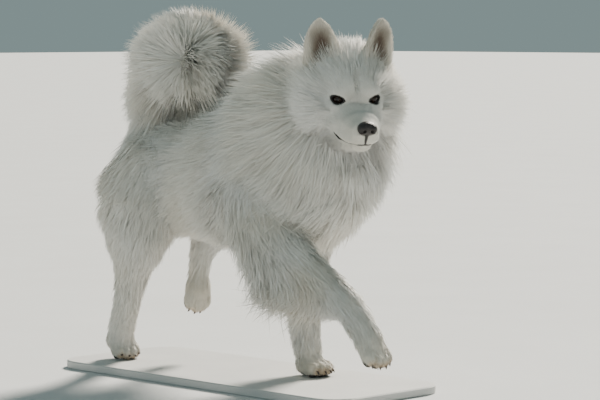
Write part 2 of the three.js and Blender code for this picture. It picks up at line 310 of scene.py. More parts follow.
WHORL = np.array([-158, -24, 668]) * MM
WHORL_AXIS = np.array([0.25, -0.96, 0.1]) / np.linalg.norm([0.25, -0.96, 0.1])
WHORL_CORE = Ball(WHORL / MM, (46, 44, 46), 0)
PLUME = Ball(WHORL / MM, (163, 124, 122), 80)
TAIL_CORE = Tube([
    (-262, 0, 480, 40, 40, 40, 0, 0, 0),
    (-292, -2, 540, 34, 34, 34, 0, 0, 0),
    (-290, -8, 610, 32, 32, 32, 0, 0, 0),
    (-258, -16, 676, 32, 32, 32, 0, 0, 0),
    (-200, -24, 712, 32, 32, 32, 0, 0, 0),
    (-138, -30, 712, 32, 32, 32, 0, 0, 0),
    (-100, -34, 676, 30, 30, 30, 0, 0, 0),
    (-112, -38, 638, 26, 26, 26, 0, 0, 0),
    (-150, -42, 640, 22, 22, 22, 0, 0, 0),
], np.array([0.0, 1.0, 0.0]))
TAIL_STEM = Tube([
    (-272, 0, 500, 78, 74, 74, 40, 40, 40),
    (-276, -4, 590, 88, 80, 80, 50, 50, 50),
    (-225, -14, 660, 92, 84, 84, 60, 50, 50),
], FORWARD)


# Head, in its own frame of reference and in millimetres
MUZZLE = (
    np.array([(-25, 0, -40), (15, 0, -42), (45, 0, -42), (75, 0, -43)], float),
    np.array([(55, 31, 42), (46, 30, 40), (37, 25, 36), (28, 20, 33)], float),
)
JAW = (
    np.array([(-32, 0, -66), (25, 0, -73), (62, 0, -75)], float),
    np.array([(42, 20, 28), (32, 14, 20), (21, 10, 14)], float),
)
RUFF = (
    np.array([(-112, 0, 14), (-72, 0, 8), (-40, 0, 0), (-16, 0, -6)], float),
    np.array([(98, 98, 92), (94, 80, 96), (87, 62, 98), (68, 45, 78)], float),
)
LIPS = [(86, 0, -69), (83, 9, -70), (75, 18, -72), (60, 27, -74.5), (40, 35, -76), (16, 42, -75),
        (-6, 46, -67)]  # the left half of the mouth's line
EYE_AT = (-8, 35, 0)
EYE_RADIUS = 12.3
EYE_OUT = math.radians(27)  # how far each eye looks away from straight ahead
EYE_TILT = math.radians(7)
NOSE_AT = (88, 0, -33)
EAR_FOOT, EAR_TIP = np.array([-66, 53, 38.0]), np.array([-78, 69, 146.0])
EAR_LENGTH = float(np.linalg.norm(EAR_TIP - EAR_FOOT))
EAR_FRONT = np.array([0.92, 0.38, 0.0])
MIRROR = np.array([1, -1, 1])  # the left side to the right


def chain(x, y, z, points, radius):
    """Distance to a cord through points."""
    best = None
    for a, b in zip(points[:-1], points[1:]):
        a, b = np.array(a, float), np.array(b, float)
        s = b - a
        r = (x - a[0], y - a[1], z - a[2])
        t = clamp(along(r, s) / (s @ s))
        d = np.sqrt((r[0] - t * s[0]) ** 2 + (r[1] - t * s[1]) ** 2 + (r[2] - t * s[2]) ** 2) - radius
        best = d if best is None else np.minimum(best, d)
    return best


def ear_terms(f, l, h):
    """Across, ahead and along an ear, each side mirrored onto the left one."""
    axis = (EAR_TIP - EAR_FOOT) / EAR_LENGTH
    front = EAR_FRONT - axis * (EAR_FRONT @ axis)
    front /= np.linalg.norm(front)
    across = np.cross(axis, front)
    r = (f - EAR_FOOT[0], np.abs(l) - EAR_FOOT[1], h - EAR_FOOT[2])
    return [along(r, a) for a in (across, front, axis)]


def eye_terms(f, l, h):
    """Across towards the outer corner, up, and out along the gaze, both eyes mirrored onto the left one."""
    r = (f - EYE_AT[0], np.abs(l) - EYE_AT[1], h - EYE_AT[2])
    out = r[0] * math.cos(EYE_OUT) + r[1] * math.sin(EYE_OUT)
    across = -r[0] * math.sin(EYE_OUT) + r[1] * math.cos(EYE_OUT)
    c, s = math.cos(EYE_TILT), math.sin(EYE_TILT)
    return across * c + r[2] * s, -across * s + r[2] * c, out


def eye_place(x, y, out, side):
    """The same terms back to the head's, side 1 for the left eye and -1 for the right."""
    c, s = math.cos(EYE_TILT), math.sin(EYE_TILT)
    across, up = x * c - y * s, x * s + y * c
    c, s = math.cos(EYE_OUT), math.sin(EYE_OUT)
    f = EYE_AT[0] + out * c - across * s
    l = EYE_AT[1] + out * s + across * c
    return np.stack([f, side * l, EYE_AT[2] + up], -1)


EAR_WIDE, EAR_THICK = 37.0, 3.0
EAR_TIPS_WIDE, EAR_TIPS_THICK = 43.0, 10.0  # out to the hair tips


def ear_distance(f, l, h, wide=EAR_WIDE, thick=EAR_THICK):
    """A cupped leaf with a rounded tip, open to the front."""
    x, y, t = ear_terms(f, l, h)
    share = clamp(t / EAR_LENGTH)
    half = wide * (1 - share**2.2) ** 0.64 + 1.0
    cup = -6 + 15 * np.clip(np.abs(x) / half, 0, 1.2) ** 2 * (1 - 0.45 * share)
    sheet = np.abs(y - cup) - thick
    side = np.abs(x) - half
    end = np.maximum(t - EAR_LENGTH, -14 - t)
    return soft_max(soft_max(sheet, side, 3.0), end, 4.0)


HEAD_JOINTS = 6.0
MUZZLE_COAT = 5
SKULL = (-66, 0, 10), ((62, 66), 63, (60, 50))
FLEWS = (34, 22, -60), (42, 16, 15)
FURROW = (2, 0, 34), (40, 3.0, 17)
LID_BALL = (0, 0, -1), (17, 14.5, 14.5)
LID_OPENING = (0, 0, 12), (15.3, 8.3, 11)
NOSE_SEAT = (13, 16.5, 12)
# centre, radii and blend of the forehead, cheek, brow and under the eye, on each side
FACE_BALLS = [
    ((-30, 14, 10), (38, 36, 34), 18),
    ((-44, 40, -28), (38, 32, 38), 26),
    ((-9, 27, 15), (11, 16, 8), 12),
    ((-2, 40, -17), (16, 14, 11), 14),
]


def head_parts(f, l, h):
    """The head's flesh as named distances in millimetres."""
    a = np.abs(l)
    skull = ball_distance(f, l, h, *SKULL)
    for centre, radii, blend in FACE_BALLS:
        skull = soft_min(skull, ball_distance(f, a, h, centre, radii), blend)
    muzzle = tube_distance((f, l, h), *MUZZLE, UP, MUZZLE_ENDS, 8.0)
    muzzle = soft_min(muzzle, ball_distance(f, a, h, *FLEWS), 8)
    furrow = ball_distance(f, l, h, *FURROW)
    jaw = tube_distance((f, l, h), *JAW, UP, ROUND_ENDS, HEAD_JOINTS)
    return {"skull": soft_max(skull, -furrow, 12), "muzzle": muzzle, "jaw": jaw}


def head_distance(points):
    """The head's flesh with its ears, the mouth's line, and seats for the eyes and nose."""
    f, l, h = head_terms(points)
    parts = head_parts(f, l, h)
    d = soft_min(parts["skull"], parts["muzzle"], 14)
    d = soft_min(d, parts["jaw"], 4)
    d = soft_min(d, ear_distance(f, l, h), 9)
    d = soft_max(d, -chain(f, np.abs(l), h, LIPS, 1.6), 2.5)
    eye = eye_terms(f, l, h)
    lids, opening = ball_distance(*eye, *LID_BALL), ball_distance(*eye, *LID_OPENING)
    d = soft_max(soft_min(d, lids, 7), -opening, 2.0)
    return MM * soft_max(d, -ball_distance(f, l, h, NOSE_AT, NOSE_SEAT), 1.5)


def head_hull(points):
    """Out to the tips of the hair on the head."""
    f, l, h = head_terms(points)
    skull = tube_distance((f, l, h), *RUFF, UP, SKULL_ENDS, HEAD_JOINTS)
    centres, sizes = MUZZLE
    muzzle = tube_distance((f, l, h), centres, sizes + MUZZLE_COAT, UP, MUZZLE_ENDS, HEAD_JOINTS)
    ear = ear_distance(f, l, h, EAR_TIPS_WIDE, EAR_TIPS_THICK) - 1.5
    return np.minimum(np.minimum(skull, muzzle), ear) * MM


LANES = (-1.5, -0.5, 0.5, 1.5)
TOE_SPACING = 15.5


def lead(lane):
    """How far ahead a toe reaches: the middle two most."""
    return 24 - 7 * (abs(lane) - 0.5)


PAW_COAT = 4.0
PAW_MIDDLE = (-8, 0, 24)
HEEL_PAD, TOE_PAD = ((-8, 0, 5), (14, 17, 6.5)), (11, 8, 5.5)


def paw_distance(points, name, coat=PAW_COAT):
    at, axes, _ = PAWS[name]
    f, l, h = local(points, at, axes)
    d = ball_distance(f, l, h, PAW_MIDDLE, (32 - coat, 34 - coat, 26 - coat))
    for lane in LANES:
        radii = (23 - coat, 12.5 - 0.6 * coat, 18 - coat)
        d = soft_min(d, ball_distance(f, l, h, (lead(lane), lane * TOE_SPACING, 17), radii), 2.5)
    return soft_min(d, pads(f, l, h), 1.5) * MM


def pads(f, l, h):
    """Distance to the pads under a paw."""
    d = ball_distance(f, l, h, *HEEL_PAD)
    for lane in LANES:
        d = np.minimum(d, ball_distance(f, l, h, (lead(lane) + 3, lane * TOE_SPACING, 4.5), TOE_PAD))
    return d


# Grid of distances and its surface
def spread(stops):
    """Coordinates from (from, to, step) runs that follow one another."""
    runs = [np.arange(a, b, s) for a, b, s in stops]
    return np.concatenate(runs + [[stops[-1][1]]])


CORNERS = [[(corner >> k) & 1 for k in range(3)] for corner in range(8)]
STEPS = np.eye(3, dtype=int)


class Grid:
    """Distances at the crossings of three runs of coordinates."""

    def __init__(self, axes):
        self.axes = [a.astype(np.float32) for a in axes]
        self.d = np.full([len(a) for a in axes], FAR, np.float32)

    def join(self, box, distance, blend, margin=0.03):
        """Melts a shape into the grid within its box."""
        cut = tuple(
            slice(max(np.searchsorted(a, lo - margin) - 1, 0), np.searchsorted(a, hi + margin) + 1)
            for a, lo, hi in zip(self.axes, *box)
        )
        where = np.ix_(*(a[s] for a, s in zip(self.axes, cut)))
        d = distance(where).astype(np.float32)
        self.d[cut] = soft_min(self.d[cut], np.minimum(d, FAR), blend)

    def keep_above(self, lowest):
        self.d = np.maximum(self.d, lowest - self.axes[2][None, None, :])

    def at(self, points):
        """Interpolated distance at points."""
        index, share = [], []
        for k, a in enumerate(self.axes):
            i = np.clip(np.searchsorted(a, points[:, k]) - 1, 0, len(a) - 2)
            index.append(i)
            share.append(clamp((points[:, k] - a[i]) / (a[i + 1] - a[i])))
        total = 0
        for bits in CORNERS:
            weight = 1
            for bit, s in zip(bits, share):
                weight = weight * (s if bit else 1 - s)
            total = total + weight * self.d[tuple(i + b for i, b in zip(index, bits))]
        return total

    def surface(self):
        """Vertices and quads of the zero surface, one vertex in each crossed cell."""
        d, inside = self.d, self.d < 0
        shape = np.array(d.shape) - 1
        count = np.zeros(shape, np.int8)
        for bits in CORNERS:
            count += inside[tuple(slice(o, o + n) for o, n in zip(bits, shape))]
        cells = np.argwhere((count > 0) & (count < 8))
        number = np.full(shape, -1, np.int32)
        number[tuple(cells.T)] = np.arange(len(cells))

        def place(index):
            return np.stack([a[i] for a, i in zip(self.axes, index.T)], 1)

        total, crossings = np.zeros((len(cells), 3)), np.zeros(len(cells))
        for axis in range(3):
            one, two = np.delete(STEPS, axis, 0)
            for shift in (0, two, one, one + two):
                a = cells + shift
                b = a + STEPS[axis]
                da, db = d[tuple(a.T)], d[tuple(b.T)]
                hit = (da < 0) != (db < 0)
                t = np.where(hit, da / np.where(hit, da - db, 1), 0)
                total += np.where(hit[:, None], place(a) + (place(b) - place(a)) * t[:, None], 0)
                crossings += hit
        quads = []
        for axis in range(3):
            others = [(axis + 1) % 3, (axis + 2) % 3]
            one, two = STEPS[others]
            edges = np.argwhere(np.diff(inside, axis=axis))
            edges = edges[((edges > 0) & (edges < shape))[:, others].all(1)]
            quad = np.stack([number[tuple((edges - shift).T)] for shift in (0, one, one + two, two)], 1)
            out = inside[tuple(edges.T)]
            quad[~out] = quad[~out][:, ::-1]
            quads.append(quad)
        return total / crossings[:, None], np.concatenate(quads)


def halves(quads):
    """Two triangles for each quad."""
    return np.concatenate([quads[:, [0, 1, 2]], quads[:, [0, 2, 3]]])


def summed(index, values, count):
    """Rows of values added up where their index is the same."""
    return np.stack([np.bincount(index, values[:, k], count) for k in range(3)], 1)


INWARD, OUTWARD = 0.5, -0.45


def smoothed(vertices, triangles, rounds):
    """Moves each vertex half way to the mean of its neighbours, and back again a little less."""
    edges = np.concatenate([triangles[:, [0, 1]], triangles[:, [1, 2]], triangles[:, [2, 0]]])
    degree = np.bincount(edges.ravel(), minlength=len(vertices))[:, None]
    moved = vertices.copy()
    for step in range(rounds):
        a, b = edges.T
        total = summed(a, moved[b], len(moved)) + summed(b, moved[a], len(moved))
        moved += (INWARD if step % 2 == 0 else OUTWARD) * (total / degree - moved)
    return moved


# The skin's surface
skin_grid = Grid([
    spread([(-0.44, 0.26, 0.0068), (0.26, 0.505, 0.0024), (0.505, 0.55, 0.004)]),
    spread([(-0.2, -0.165, 0.006), (-0.165, 0.06, 0.0024), (0.06, 0.2, 0.0064)]),
    spread([(-0.008, 0.11, 0.004), (0.11, 0.47, 0.008), (0.47, 0.79, 0.0024)]),
])
LEG_BLEND = 0.022
BLENDS = [(TRUNK, 0.03), (NECK, 0.04), (BIB, 0.04), *((leg, LEG_BLEND) for leg in LEGS.values()),
          (TAIL_CORE, 0.012), (WHORL_CORE, 0.015)]
PAW_ROOM = 0.065
PAW_BLEND = 0.008
HEAD_BLEND = 0.012
HEAD_BOX = (np.array([0.22, -0.2, 0.46]), np.array([0.53, 0.09, 0.79]))
SKIN_LOWEST = 0.0004  # above the base's top
for part, blend in BLENDS:
    skin_grid.join(part.box(), part, blend)
for name, (at, _, _) in PAWS.items():
    box = (at - PAW_ROOM, at + PAW_ROOM)
    skin_grid.join(box, lambda where, name=name: paw_distance(where, name), PAW_BLEND, 0.0)
skin_grid.join(HEAD_BOX, head_distance, HEAD_BLEND, 0.0)
skin_grid.keep_above(SKIN_LOWEST)
skin_points, skin_quads = skin_grid.surface()
skin_triangles = halves(skin_quads)


def mesh_object(name, points, faces):
    """A mesh object from dog-term points and triangles or quads."""
    faces = np.asarray(faces, np.int32)
    mesh = bpy.data.meshes.new(name)
    mesh.vertices.add(len(points))
    mesh.vertices.foreach_set("co", world(points).astype(np.float32).ravel())
    mesh.loops.add(faces.size)
    mesh.loops.foreach_set("vertex_index", faces.ravel())
    mesh.polygons.add(len(faces))
    mesh.polygons.foreach_set("loop_start", np.arange(0, faces.size, faces.shape[1], dtype=np.int32))
    mesh.update(calc_edges=True)
    mesh.shade_smooth()
    return placed(name, mesh)


def paint(mesh, colours):
    """Stores a colour for each vertex as the attribute that the materials read."""
    layer = mesh.attributes.new("tint", "FLOAT_COLOR", "POINT")
    rgba = np.ones((len(colours), 4), np.float32)
    rgba[:, :3] = colours
    layer.data.foreach_set("color", rgba.ravel())


def vertex_normals(points, triangles):
    p = points[triangles]
    face = np.cross(p[:, 1] - p[:, 0], p[:, 2] - p[:, 0])
    return unit(sum(summed(corner, face, len(points)) for corner in triangles.T))


skin_points = smoothed(skin_points, skin_triangles, 2)
skin_normals = vertex_normals(skin_points, skin_triangles)
columns = [skin_points[:, k] for k in range(3)]


# Where each part of the body is, as shares that add up to one
f, l, h = head_terms(columns)
near = {
    "trunk": TRUNK(columns),
    "neck": NECK(columns),
    "chest": BIB(columns),
    "tail": np.minimum(TAIL_CORE(columns), WHORL_CORE(columns)),
    "head": np.minimum.reduce(list(head_parts(f, l, h).values())) * MM,
    "ears": ear_distance(f, l, h) * MM,
}
for name, leg in LEGS.items():
    near[name] = leg(columns)
    near[name + "_paw"] = paw_distance(columns, name)
NAMES = list(near)
DEEPEST = -0.002  # inside this, a place belongs to a part as fully as it can
MIXED_OVER = 0.008
table = np.maximum(np.stack([near[n] for n in NAMES], 1), DEEPEST)
share = np.exp(-(table - table.min(1, keepdims=True)) / MIXED_OVER)
share /= share.sum(1, keepdims=True)


def belonging_to(name):
    return share[:, NAMES.index(name)]


def toward(vector):
    return np.broadcast_to(unit(np.array(vector, float)), skin_points.shape)


SAG = np.array([-0.1, 0, -0.15])


def bone(tube):
    """Down a leg's line, bent by the hair's weight and the air, and how far each place faces behind it."""
    best, way = np.full(len(skin_points), np.inf), np.zeros_like(skin_points)
    for a, b in zip(tube.centres[:-1], tube.centres[1:]):
        s = b - a
        t = clamp(((skin_points - a) @ s) / (s @ s))
        d = np.linalg.norm(skin_points - a - t[:, None] * s, axis=1)
        closer = d < best
        best[closer] = d[closer]
        way[closer] = s / np.linalg.norm(s)
    away = -unit(FORWARD - (way @ FORWARD)[:, None] * way)
    behind = clamp(1.7 * dot(away, skin_normals) - 0.2)[:, None]
    return unit(way + SAG), behind


def blended(values):
    """A value for every skin vertex from one for each part."""
    total = 0
    for k, name in enumerate(NAMES):
        v = values[name]
        total = total + (share[:, k, None] * v if np.ndim(v) == 2 else share[:, k] * v)
    return total


nose_at = from_head(86, 0, -30)
from_nose = np.linalg.norm(skin_points - nose_at, axis=1) / MM
from_head_centre = unit(skin_points - from_head(-60, 0, 0))

# The tail's hair leaves its whorl on all sides, with a little drop and turn
whorl_out = skin_points - WHORL
aside = whorl_out @ WHORL_AXIS
whorl_out = (whorl_out - np.outer(aside, WHORL_AXIS)) / 0.05
whorl_out /= np.maximum(np.linalg.norm(whorl_out, axis=1, keepdims=True), 1)
whorl_out += np.outer(np.clip(aside / 0.03, -1, 1) * 0.3, WHORL_AXIS) + np.array([-0.05, 0, -0.12])
whorl_out += 0.15 * np.cross(WHORL_AXIS, unit(skin_points - WHORL))
ear_axis = EAR_TIP - EAR_FOOT
ear_ways = np.where(l[:, None] > 0, ear_axis @ HEAD_AXES, (ear_axis * MIRROR) @ HEAD_AXES)
side_share = np.abs(skin_normals[:, 1])

# The way that the hair lies on each part
lie = {
    "trunk": unit(toward((-0.9, 0, -0.15)) + np.outer(side_share, (0, 0, -0.55))),
    "neck": unit(0.9 * from_head_centre + np.array([-0.4, 0, -0.45])),
    "chest": unit(0.35 * from_head_centre + np.array([-0.15, 0, -0.95])),
    "tail": unit(whorl_out),
    "head": unit(unit(skin_points - nose_at) + np.array([0, 0, -0.12])),
    "ears": unit(ear_ways),
}
# the way that the long hair behind each leg hangs
FEATHERING = {
    "right_fore": (-0.78, 0, -0.62),
    "left_fore": (-0.7, 0, -0.7),
    "right_hind": (-0.35, 0, -0.9),
    "left_hind": (-0.3, 0, -0.9),
}
for name, leg in LEGS.items():
    down, behind = bone(leg)
    hanging = unit(np.array(FEATHERING[name]))
    lie[name] = unit(down * (1 - behind) + behind * hanging)
    lie[name + "_paw"] = unit(toward(PAWS[name][1][0]) + 0.45 * toward(-PAWS[name][1][2]))

# density per square centimetre, longest hair, how far it stands off, width and size of a lock, in mm
KINDS = {
    "trunk": (19, 85, 0.6, 1.6, 15),
    "neck": (38, 130, 0.8, 1.5, 17),
    "chest": (38, 130, 0.6, 1.5, 17),
    "tail": (36, 150, 0.7, 1.6, 14),
    "head": (60, 95, 0.5, 1.0, 7),
    "ears": (80, 13, 0.35, 0.7, 4),
    "fore": (28, 150, 0.42, 1.3, 10),
    "hind": (24, 100, 0.5, 1.5, 13),
    "paw": (50, 11, 0.3, 0.8, 5),
}

flow = blended(lie)
flow /= np.maximum(np.linalg.norm(flow, axis=1, keepdims=True), 0.4)
density, longest, stand, width, lock = (
    blended({name: KINDS[name.split("_")[-1]][k] for name in NAMES}) for k in range(5)
)

# The face: short on the muzzle and longer towards the ruff
on_head = belonging_to("head")
faced = on_head > 0.3
low = clamp((28 - h) / 30)  # 1 on the cheeks and throat, 0 on the crown
BY_NOSE = [18, 55, 85, 105, 135, 175], [3, 5, 8, 15, 30, 70]  # how long the hair is, at how far
BELOW = [70, 95, 120, 150], [0, 12, 42, 55]  # how much longer it is below
BY_LIPS = [2, 14, 30], [2.6, 4.5, 60]
BY_EYES = [0, 14], [2.5, 9]
lip_gap = chain(f, np.abs(l), h, LIPS, 0)
face_length = np.interp(from_nose, *BY_NOSE) + low * np.interp(from_nose, *BELOW)
face_length = np.minimum(face_length, np.interp(lip_gap, *BY_LIPS))
longest = np.where(faced, np.minimum(longest, face_length + (1 - on_head) * 60), longest)

# Short round the eyes
FACE_BACK = -40
NOWHERE = 99.0
eye_x, eye_y, eye_out = eye_terms(f, l, h)
eye_gap = ball_distance(eye_x, eye_y, np.zeros_like(eye_x), (0, 0, 0), (14.8, 8.4, 1))
eye_gap = np.where((eye_out > 0) & (f > FACE_BACK), eye_gap, NOWHERE)
by_eyes = np.minimum(longest, np.interp(eye_gap, *BY_EYES))
longest = np.where(eye_gap < BY_EYES[0][-1], by_eyes, longest)

# Finer, closer and flatter towards the nose
FACE_STOPS = [20, 60, 110, 170]  # millimetres from the nose
width = np.where(faced, np.interp(from_nose, FACE_STOPS, [0.5, 0.6, 0.9, 1.5]), width)
density = np.where(faced, np.interp(from_nose, FACE_STOPS, [170, 150, 90, 45]), density)
lock = np.where(faced, np.interp(from_nose, FACE_STOPS, [3, 4, 8, 18]), lock)
crown = np.interp(from_nose, FACE_STOPS, [0.25, 0.28, 0.42, 0.6])
cheek = np.interp(from_nose, [20, 60, 100, 150], [0.25, 0.28, 0.7, 1.05])
stand = np.where(faced, crown + low * (cheek - crown), stand)

# Ears: soft and short outside, thin and grey in the hollow, with painted shade darkening it towards its
# base
ear_x, _, ear_t = ear_terms(f, l, h)
ear_front = unit(np.where(l[:, None] > 0, EAR_FRONT, EAR_FRONT * MIRROR)) @ HEAD_AXES
on_ear = belonging_to("ears")
facing = dot(skin_normals, ear_front)
hollow = on_ear * clamp((facing - 0.1) / 0.3) * clamp((ear_t + 8) / 14)
# painted shade: darkest at the base and middle of the ear's hollow
deep_shade = hollow * clamp(1 - np.abs(ear_x) / 24) * clamp(1 - (ear_t - 30) / 62)


NOISE_WAVES = 6


def noise(points, size, seed):
    """Smooth waves over space, about -1 to 1."""
    rng = np.random.RandomState(seed)
    total = 0
    for _ in range(NOISE_WAVES):
        way = unit(rng.normal(size=3)) * (2 * math.pi / size) * rng.uniform(0.6, 1.5)
        total = total + np.sin(points @ way + rng.uniform(0, 6.3))
    return total / (NOISE_WAVES / 2)


# Colours, shared by skin and coat
WHITE = np.array([0.92, 0.905, 0.865])
CREAM = np.array([0.88, 0.81, 0.68])
BISCUIT = np.array([0.52, 0.36, 0.20])
# painted shade for the deepest part of the ear's hollow
EAR_HOLLOW_SHADE = np.array([0.16, 0.11, 0.08])
EAR_GREY = np.array([0.50, 0.45, 0.37])
BLACK = np.array([0.016, 0.014, 0.014])


def mixed(colours, other, amount):
    amount = clamp(amount)[:, None]
    return colours * (1 - amount) + other * amount


cream = 0.25 + 0.2 * noise(skin_points, 0.16, 3)
tint = mixed(np.broadcast_to(WHITE, skin_points.shape), CREAM, cream)
edge = clamp((np.abs(ear_x) - 17) / 10) + clamp((ear_t - 78) / 20)
tint = mixed(tint, CREAM, 0.3 * on_ear)
tint = mixed(tint, EAR_GREY, 0.85 * hollow * (1 - 0.7 * clamp(edge)))
# the ear's hollow: its own grey, then painted shade in dark brown towards the base
tint = mixed(tint, EAR_HOLLOW_SHADE, 2.6 * deep_shade)
tint = mixed(tint, CREAM, 0.5 * sum(belonging_to(name + "_paw") for name in PAWS))
toe_gap = np.full(len(skin_points), NOWHERE)
pad_gap = toe_gap.copy()
PAD_TOP = 9
for name, (at, axes, _) in PAWS.items():
    pf, pl, ph = local(columns, at, axes)
    pad_gap = np.minimum(pad_gap, pads(pf, pl, ph) + np.where(ph > PAD_TOP, 20, 0))
    for lane in LANES:
        tip = ball_distance(pf, pl, ph, (lead(lane) + 20, lane * TOE_SPACING, 11), (7, 7, 9))
        toe_gap = np.minimum(toe_gap, tip)
tint = mixed(tint, BISCUIT, 0.75 * clamp(1 - toe_gap / 9))
bare_pads = clamp(1.4 - pad_gap / 1.6)
tint = mixed(tint, BLACK, bare_pads)
dark_gap = np.minimum(chain(f, np.abs(l), h, LIPS, 2.0), eye_gap)
dark_gap = np.minimum(dark_gap, ball_distance(f, l, h, NOSE_AT, (13, 17, 12)) - 2.0)
bare = clamp(1 - dark_gap / 2.2)
tint = mixed(tint, BLACK, bare)
bare = np.maximum(bare, bare_pads)
corner = clamp(1 - lip_gap / 6) * (f < 32)  # of the mouth
density = density * (1 - 0.6 * hollow) * (1 - clamp(1.6 * bare + 1.5 * corner))

skin = mesh_object("skin", skin_points, skin_quads)
paint(skin.data, tint)

# Unwrap of the skin's own shape
bpy.context.view_layer.objects.active = skin
skin.select_set(True)
bpy.ops.object.mode_set(mode="EDIT")
bpy.ops.mesh.select_all(action="SELECT")
bpy.ops.uv.smart_project(angle_limit=math.radians(66), island_margin=0.002)
bpy.ops.object.mode_set(mode="OBJECT")
skin.data.uv_layers[0].name = "OFBake"
skin_uv = np.zeros(len(skin.data.loops) * 2, np.float32)
skin.data.uv_layers[0].data.foreach_get("uv", skin_uv)
skin_uv = skin_uv.reshape(-1, 4, 2)

# The coat's outer limit
hull_grid = Grid([
    spread([(-0.52, 0.28, 0.009), (0.28, 0.54, 0.006)]),
    spread([(-0.24, 0.2, 0.007)]),
    spread([(-0.03, 0.1, 0.005), (0.1, 0.86, 0.008)]),
])
hull_grid.d[:] = 2 * FAR
HULL_BLEND = 0.012
HULL_FINE = 0.006
HULL_MARGIN = 0.05
PAW_HULL = 0.075
LOWEST = 0.0006  # above the base's top
for part in [TRUNK, NECK, BIB, *LEGS.values(), PLUME, TAIL_STEM]:
    hull_grid.join(part.box(True), lambda where, part=part: part(where, True), HULL_BLEND, HULL_MARGIN)
for name, (at, _, _) in PAWS.items():
    box = (at - PAW_HULL, at + PAW_HULL)
    hull_grid.join(box, lambda where, name=name: paw_distance(where, name, 0), HULL_FINE, 0)
hull_grid.join(HEAD_BOX, head_hull, HULL_FINE, 0.0)
hull_grid.keep_above(LOWEST)

MARCHES = 16
FIRST_STEP, LEAST_STEP, NEARLY_OUT = 0.0005, 0.0006, 0.0004


def reach(points, ways, most):
    """How far each ray runs before it leaves the coat."""
    t = np.full(len(points), FIRST_STEP)
    going = np.ones(len(points), bool)
    for _ in range(MARCHES):
        d = hull_grid.at(points + ways * t[:, None])
        going &= (d < -NEARLY_OUT) & (t < most)
        t = np.where(going, t + np.maximum(-0.8 * d, LEAST_STEP), t)
    return np.minimum(t, most)


# Coat
PER_M2, CM2 = 1e4, 1e-4  # square centimetres in a square metre, and one in square metres


def sample_roots(chosen):
    """Even random places on the chosen quads: triangle numbers and corner shares."""
    tri, uv = halves(skin_quads[chosen]), halves(skin_uv[chosen])
    p = skin_points[tri]
    area = 0.5 * np.linalg.norm(np.cross(p[:, 1] - p[:, 0], p[:, 2] - p[:, 0]), axis=1) * PER_M2
    total = np.cumsum(area * density[tri].mean(1))
    count = int(total[-1])
    picks = np.searchsorted(total, (np.arange(count) + RNG.rand(count)) * total[-1] / count)
    a, b = RNG.rand(count), RNG.rand(count)
    flip = a + b > 1
    a[flip], b[flip] = 1 - a[flip], 1 - b[flip]
    shares = np.stack([1 - a - b, a, b], 1)
    return tri[picks], shares, np.einsum("ijk,ij->ik", uv[picks], shares)


# the share of stray hairs, how far they pass the others, and how much the lie wanders
CALM, BLOWN = (0.03, 0.12, 0.2), (0.1, 0.3, 0.25)
WILD = {
    "coat_tail": (0.12, 0.2, 0.36),
    "coat_neck": (0.12, 0.3, 0.25),
    "coat_right_fore": BLOWN,
    "coat_left_fore": BLOWN,
}
UNDERCOAT = 0.35  # the share of shorter hairs that stand more
UNDER_LENGTH, TOP_LENGTH = (0.45, 0.35), (0.86, 0.16)  # the least share of the full length, and its range
# size in metres, and a seed for each axis
LOCK_WAVES, FINE_WAVES = (0.11, (11, 12, 13)), (0.035, (21, 22, 23))
LEAST_LENGTH = 0.0045
SHADE_VARIES = 0.045
BRIGHTEST = 0.93


def waves(points, size, seeds):
    return np.stack([noise(points, size, seed) for seed in seeds], 1)


def grow(chosen, wild):
    """Roots and their hairs' ends for the chosen quads."""
    tri, shares, uv = sample_roots(chosen)

    def mean(values):
        v = values[tri]
        return np.einsum("ijk,ij->ik", v, shares) if v.ndim == 3 else np.einsum("ij,ij->i", v, shares)

    n = len(tri)
    root, normal, way = mean(skin_points), unit(mean(skin_normals)), mean(flow)
    strays, overshoot, wander = wild
    way = way + wander * waves(root, *LOCK_WAVES)
    way = way + 0.6 * wander * waves(root, *FINE_WAVES)
    out = dot(way, normal)
    way = unit(way - (np.where(out > 0, 0.65, 1.0) * out)[:, None] * normal)
    under = RNG.rand(n) < UNDERCOAT
    way = unit(way + np.where(under, 0.3, 0.15)[:, None] * RNG.normal(size=(n, 3)))
    up = mean(stand) * (0.75 + 0.5 * RNG.rand(n)) * np.where(under, 1.25, 1.0)
    aim = unit(normal * up[:, None] + way)
    cap = mean(longest) * MM
    under_full, top_full = (least + more * RNG.rand(n) for least, more in (UNDER_LENGTH, TOP_LENGTH))
    stray = RNG.rand(n) < strays
    full = np.where(stray, 1.05 + overshoot * RNG.rand(n), np.where(under, under_full, top_full))
    size = np.maximum(reach(root, aim, cap), np.minimum(cap, LEAST_LENGTH)) * full
    shade = 1 + SHADE_VARIES * RNG.normal(size=(n, 1))
    return {
        "root": root, "normal": normal, "aim": aim, "size": size, "uv": uv,
        "width": mean(width) * MM * (0.75 + 0.5 * RNG.rand(n)), "lock": mean(lock) * MM,
        "colour": np.clip(mean(tint) * shade, 0, BRIGHTEST), "stray": stray,
    }


SPARE = 0.013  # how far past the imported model's box a hair may reach
LIMITS = (
    np.array([-CAD_BOX[1][1] - AHEAD - SPARE, CAD_BOX[0][0] - SPARE, -1.0]),
    np.array([-CAD_BOX[0][1] - AHEAD + SPARE, CAD_BOX[1][0] + SPARE, CAD_BOX[1][2] - BASE_TOP + SPARE]),
)
LOCKS_OVER_AREA = 1.3
LEAST_LOCKS = 4


